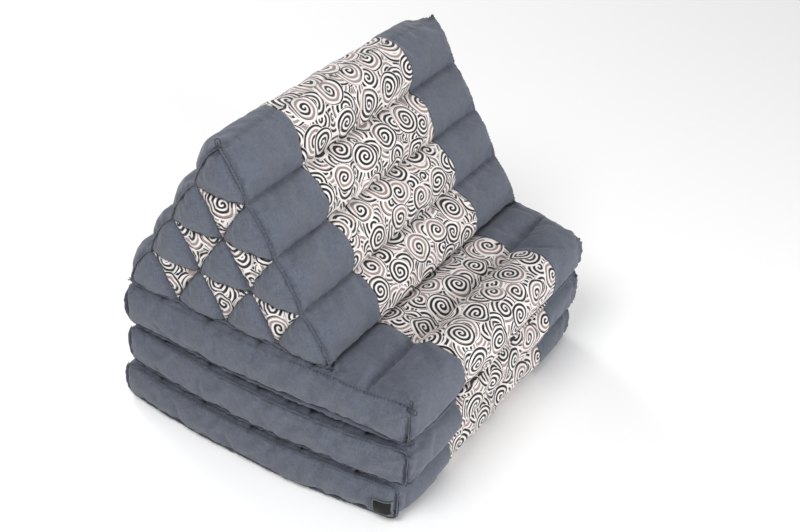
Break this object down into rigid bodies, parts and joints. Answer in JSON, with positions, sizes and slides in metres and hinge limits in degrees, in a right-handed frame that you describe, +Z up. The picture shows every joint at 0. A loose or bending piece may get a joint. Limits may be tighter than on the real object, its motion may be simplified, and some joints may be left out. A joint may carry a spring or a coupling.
{
  "type": "thai triangle cushion with fold-out mats",
  "caption": "Filled floor cushion: a triangular wedge of sewn tubes as a backrest, hinged in cloth to a zigzag of folded mats that make a seat or a bed.",
  "frame": {"origin": "on the floor, under the middle of the folded cushion", "axes": "+X runs along the tubes, -Y is the front of the seat, +Z is up"},
  "size_m": [0.5854, 0.5104, 0.4908],
  "materials": {
    "grey_cotton": "matt plain weave cotton, blue grey",
    "printed_cotton": "matt cotton, off-white with printed spirals in charcoal and taupe",
    "label_satin": "black satin ribbon, blank"
  },
  "bodies": {
    "root": {"wedge_left": "grey_cotton", "wedge_band": "printed_cotton", "wedge_right": "grey_cotton", "patch_left_1_1": "printed_cotton", "patch_left_2_1": "printed_cotton", "patch_left_2_2": "printed_cotton", "patch_left_3_1": "printed_cotton", "patch_left_3_2": "printed_cotton", "patch_left_3_3": "printed_cotton", "patch_right_1_1": "printed_cotton", "patch_right_2_1": "printed_cotton", "patch_right_2_2": "printed_cotton", "patch_right_3_1": "printed_cotton", "patch_right_3_2": "printed_cotton", "patch_right_3_3": "printed_cotton", "mat_bottom_left": "grey_cotton", "mat_bottom_band": "printed_cotton", "mat_bottom_right": "grey_cotton", "mat_middle_left": "grey_cotton", "mat_middle_band": "printed_cotton", "mat_middle_right": "grey_cotton", "mat_top_left": "grey_cotton", "mat_top_band": "printed_cotton", "mat_top_right": "grey_cotton", "hinge_front_left": "grey_cotton", "hinge_front_band": "printed_cotton", "hinge_front_right": "grey_cotton", "hinge_back_left": "grey_cotton", "hinge_back_band": "printed_cotton", "hinge_back_right": "grey_cotton", "hinge_wedge_left": "grey_cotton", "hinge_wedge_band": "printed_cotton", "hinge_wedge_right": "grey_cotton", "side_label": "label_satin"}
  },
  "joints": []
}
